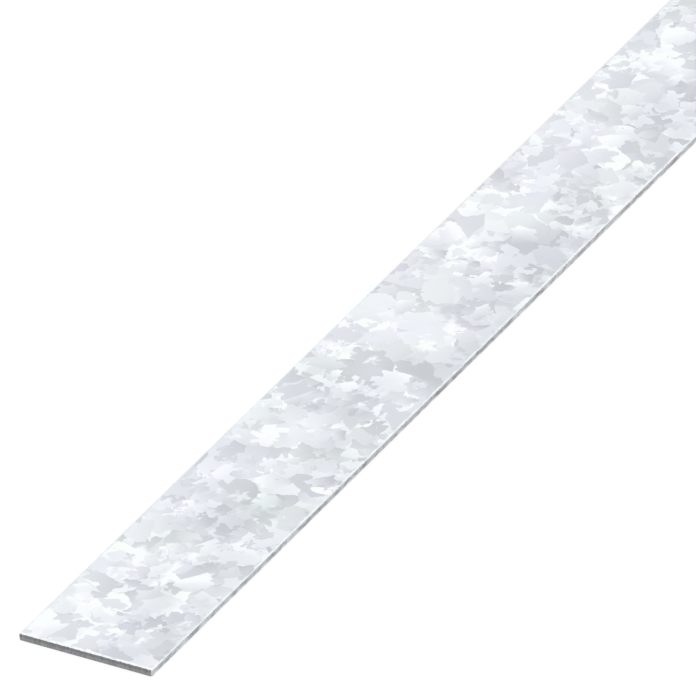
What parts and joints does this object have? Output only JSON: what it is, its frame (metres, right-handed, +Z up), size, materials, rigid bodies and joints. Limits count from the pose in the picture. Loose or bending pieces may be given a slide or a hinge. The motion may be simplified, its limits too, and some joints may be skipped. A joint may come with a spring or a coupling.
{
  "type": "metal flat bar",
  "caption": "Length of galvanised steel flat bar with rolled-over slit edges and sheared ends, stock for brackets, braces and edging.",
  "frame": {"origin": "middle of the underside", "axes": "+X along the bar's length, +Y across its width, +Z up through its thickness, from the underside (the burr side) to the top face (the roll side)"},
  "size_m": [1, 0.04, 0.002],
  "materials": {
    "galvanised_steel": "satin"
  },
  "bodies": {
    "root": {"flat_bar": "galvanised_steel"}
  },
  "joints": []
}
